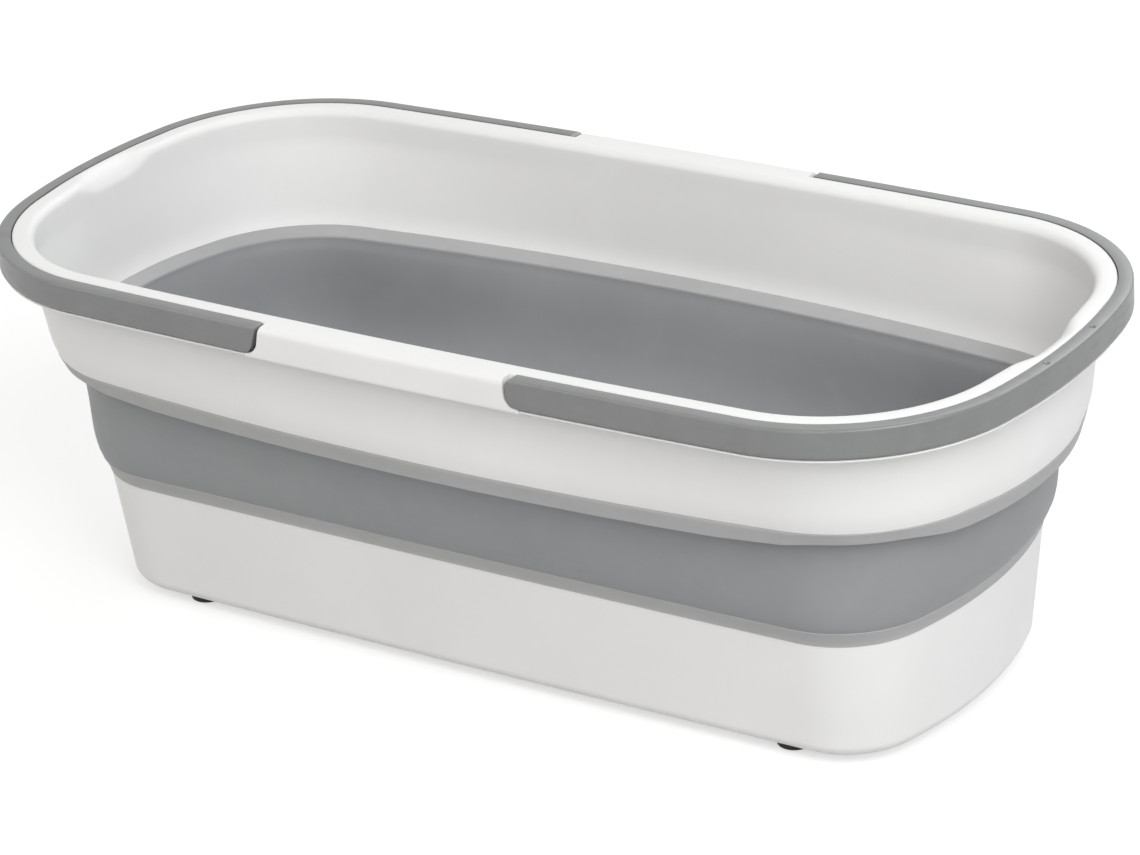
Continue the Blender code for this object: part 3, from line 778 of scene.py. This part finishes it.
def makeFoot(name, xSign, ySign, node):
    form = footForm
    deselectAll()
    x = xSign * (bucket["length"] / 2 - form["fromEnd"])
    y = ySign * (bucket["width"] / 2 - form["fromSide"])
    bpy.ops.mesh.primitive_cylinder_add(vertices=form["segments"], radius=form["radius"],
                                        depth=form["height"], location=(0, 0, 0))
    piece = bpy.context.object
    piece.name = piece.data.name = name
    bpy.ops.object.mode_set(mode="EDIT")
    bpy.ops.mesh.select_all(action="DESELECT")
    shape = bmesh.from_edit_mesh(piece.data)
    for face in shape.faces:
        face.select = face.normal.z < form["soleLimit"]
    bmesh.update_edit_mesh(piece.data)
    bpy.ops.mesh.bevel(offset=form["edge"], segments=form["edgeSteps"], affect="EDGES")
    bpy.ops.mesh.select_all(action="SELECT")
    bpy.ops.transform.translate(value=(x, y, form["height"] / 2))
    finishPiece(piece, surfaces["footRubber"], "base", node)


makeFoot("footFrontLeft", -1, -1, "foot_front_left")
makeFoot("footFrontRight", 1, -1, "foot_front_right")
makeFoot("footRearLeft", -1, 1, "foot_rear_left")
makeFoot("footRearRight", 1, 1, "foot_rear_right")
print("feet made")

# Floor, light and camera. The floor and the world are white where the camera sees them, and the
# floor keeps the bucket's shadow. Far from the bucket the floor is plain white.
studio = {
    "floorSize": 8, "floorDrop": 0.0002, "floorTone": 0.55, "floorLift": (0.56, 1.0),
    "liftSpan": (0.6, 2.2), "worldTone": 0.39,
    "lamps": (  # name, place, size, power and colour
        ("softKey", (1.45, -0.75, 1.35), 1.3, 25.0, (1, 1, 1)),
        ("softLeft", (-1.2, -1.24, 1.2), 1.2, 7.0, (1, 0.95, 0.86)),
        ("softFront", (0.5, -1.9, 0.9), 1.3, 5.6, (1, 0.975, 0.93)),
        ("softBack", (0, 1.6, 1.4), 1.3, 12.6, (0.96, 0.985, 1)),
    ),
}


def raysThatSeeWhite(tree):
    path = tree.nodes.new("ShaderNodeLightPath").outputs
    direct = mathNode(tree, "MAXIMUM", path["Is Camera Ray"], path["Is Glossy Ray"])
    return mathNode(tree, "MAXIMUM", direct, path["Is Transmission Ray"])


def makeFloor():
    deselectAll()
    bpy.ops.mesh.primitive_plane_add(size=studio["floorSize"],
                                     location=(0, 0, -studio["floorDrop"]))
    floor = bpy.context.object
    floor.name = floor.data.name = "floor"
    surface = bpy.data.materials.new("paleFloor")
    surface.use_nodes = True
    tree = surface.node_tree
    shader = tree.nodes["Principled BSDF"]
    shader.inputs["Base Color"].default_value = (*(studio["floorTone"],) * 3, 1)
    shader.inputs["Roughness"].default_value = 1
    shader.inputs["Specular IOR Level"].default_value = 0
    away = tree.nodes.new("ShaderNodeVectorMath")
    away.operation = "LENGTH"
    place = tree.nodes.new("ShaderNodeTexCoord")
    tree.links.new(place.outputs["Object"], away.inputs[0])
    level = spreadNode(tree, away.outputs["Value"], studio["liftSpan"], studio["floorLift"])
    lift = mathNode(tree, "MULTIPLY", raysThatSeeWhite(tree), level)
    tree.links.new(lift, shader.inputs["Emission Strength"])
    shader.inputs["Emission Color"].default_value = (1, 1, 1, 1)
    floor.data.materials.append(surface)


def makeWorld():
    world = bpy.data.worlds.new("studio")
    bpy.context.scene.world = world
    world.use_nodes = True
    tree = world.node_tree
    lit = tree.nodes["Background"]
    lit.inputs["Color"].default_value = (1, 1, 1, 1)
    lit.inputs["Strength"].default_value = studio["worldTone"]
    shown = tree.nodes.new("ShaderNodeBackground")
    shown.inputs["Color"].default_value = (1, 1, 1, 1)
    shown.inputs["Strength"].default_value = 1
    mixer = tree.nodes.new("ShaderNodeMixShader")
    tree.links.new(raysThatSeeWhite(tree), mixer.inputs[0])
    tree.links.new(lit.outputs[0], mixer.inputs[1])
    tree.links.new(shown.outputs[0], mixer.inputs[2])
    tree.links.new(mixer.outputs[0], tree.nodes["World Output"].inputs["Surface"])


def makeSoftbox(name, place, size, power, colour):
    data = bpy.data.lights.new(name, "AREA")
    data.energy = power
    data.size = size
    data.color = colour
    lamp = bpy.data.objects.new(name, data)
    bpy.context.collection.objects.link(lamp)
    lamp.location = place
    lamp.rotation_euler = (-Vector(place)).to_track_quat("-Z", "Y").to_euler()


makeFloor()
makeWorld()
for lamp in studio["lamps"]:
    makeSoftbox(*lamp)

shot = {"focalPixels": 4276, "azimuth": 34.941, "elevation": 24.355, "distance": 1.6838,
        "targetX": 0.00524, "targetZ": 0.07913, "roll": -4.095, "photoWidth": 1140,
        "sensorWidth": 36}


def makeCamera():
    azimuth, elevation = math.radians(shot["azimuth"]), math.radians(shot["elevation"])
    roll = math.radians(shot["roll"])
    back = Vector((math.sin(azimuth) * math.cos(elevation),
                   -math.cos(azimuth) * math.cos(elevation), math.sin(elevation)))
    right = (-back).cross(Vector((0, 0, 1))).normalized()
    up = right.cross(-back)
    rolledRight = right * math.cos(roll) + up * math.sin(roll)
    rolledUp = up * math.cos(roll) - right * math.sin(roll)
    eye = Vector((shot["targetX"], 0, shot["targetZ"])) + back * shot["distance"]
    data = bpy.data.cameras.new("camera")
    data.sensor_width = shot["sensorWidth"]
    data.lens = shot["focalPixels"] / shot["photoWidth"] * shot["sensorWidth"]
    camera = bpy.data.objects.new("camera", data)
    bpy.context.collection.objects.link(camera)
    camera.matrix_world = Matrix.Translation(eye) @ Matrix(
        (rolledRight, rolledUp, back)).transposed().to_4x4()
    bpy.context.scene.camera = camera


makeCamera()
bpy.context.scene.view_settings.view_transform = "Standard"
print("studio set")
